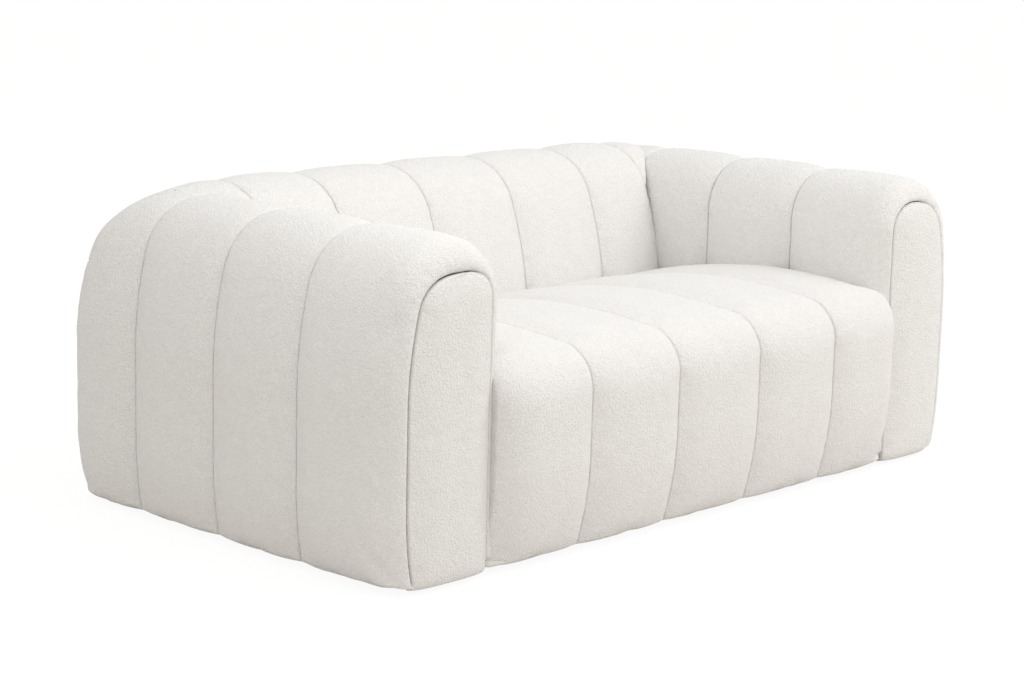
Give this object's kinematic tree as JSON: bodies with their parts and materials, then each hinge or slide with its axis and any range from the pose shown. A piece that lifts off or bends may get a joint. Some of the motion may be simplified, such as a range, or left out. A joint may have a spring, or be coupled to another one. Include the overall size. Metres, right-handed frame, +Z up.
{
  "type": "tuxedo sofa",
  "caption": "Channel tufted two seat tuxedo sofa with arms level with the back, a tight seat and low feet under a fully upholstered base.",
  "frame": {"origin": "on the floor, under the middle of the sofa's outer box", "axes": "+X to the right as one faces the sofa, -Y out of the front, +Z up"},
  "size_m": [1.852, 1.087, 0.689],
  "materials": {
    "boucle": "matte",
    "foam": "matte",
    "webbing": "matte",
    "dust_cloth": "matte",
    "feet": "matte",
    "zinc_steel": "satin",
    "hardboard": "matte",
    "plywood": "matte"
  },
  "bodies": {
    "root": {"arm_bolts": "zinc_steel", "arm_nuts": "zinc_steel", "back_base_board": "plywood", "back_channel_1": "boucle", "back_channel_2": "boucle", "back_channel_3": "boucle", "back_channel_4": "boucle", "back_channel_5": "boucle", "back_corner_channel_left": "boucle", "back_corner_channel_right": "boucle", "back_foam": "foam", "back_former_1": "plywood", "back_former_2": "plywood", "back_former_3": "plywood", "back_former_4": "plywood", "back_top_rail": "plywood", "back_webbing": "webbing", "corner_blocks": "plywood", "dust_cover": "dust_cloth", "feet": "feet", "foot_screws": "zinc_steel", "front_rail": "plywood", "left_arm_channel_1": "boucle", "left_arm_channel_2": "boucle", "left_arm_channel_3": "boucle", "left_arm_channel_4": "boucle", "left_arm_foam": "foam", "left_arm_front_board": "plywood", "left_arm_front_panel": "boucle", "left_arm_inner_board": "plywood", "left_arm_middle_board": "plywood", "left_arm_outer_board": "hardboard", "left_arm_rear_board": "plywood", "left_arm_top_board": "plywood", "left_side_rail": "plywood", "rear_rail": "plywood", "right_arm_channel_1": "boucle", "right_arm_channel_2": "boucle", "right_arm_channel_3": "boucle", "right_arm_channel_4": "boucle", "right_arm_foam": "foam", "right_arm_front_board": "plywood", "right_arm_front_panel": "boucle", "right_arm_inner_board": "plywood", "right_arm_middle_board": "plywood", "right_arm_outer_board": "hardboard", "right_arm_rear_board": "plywood", "right_arm_top_board": "plywood", "right_side_rail": "plywood", "seat_channel_1": "boucle", "seat_channel_2": "boucle", "seat_channel_3": "boucle", "seat_channel_4": "boucle", "seat_channel_5": "boucle", "seat_divider": "plywood", "seat_foam": "foam", "seat_webbing": "webbing"}
  },
  "joints": []
}
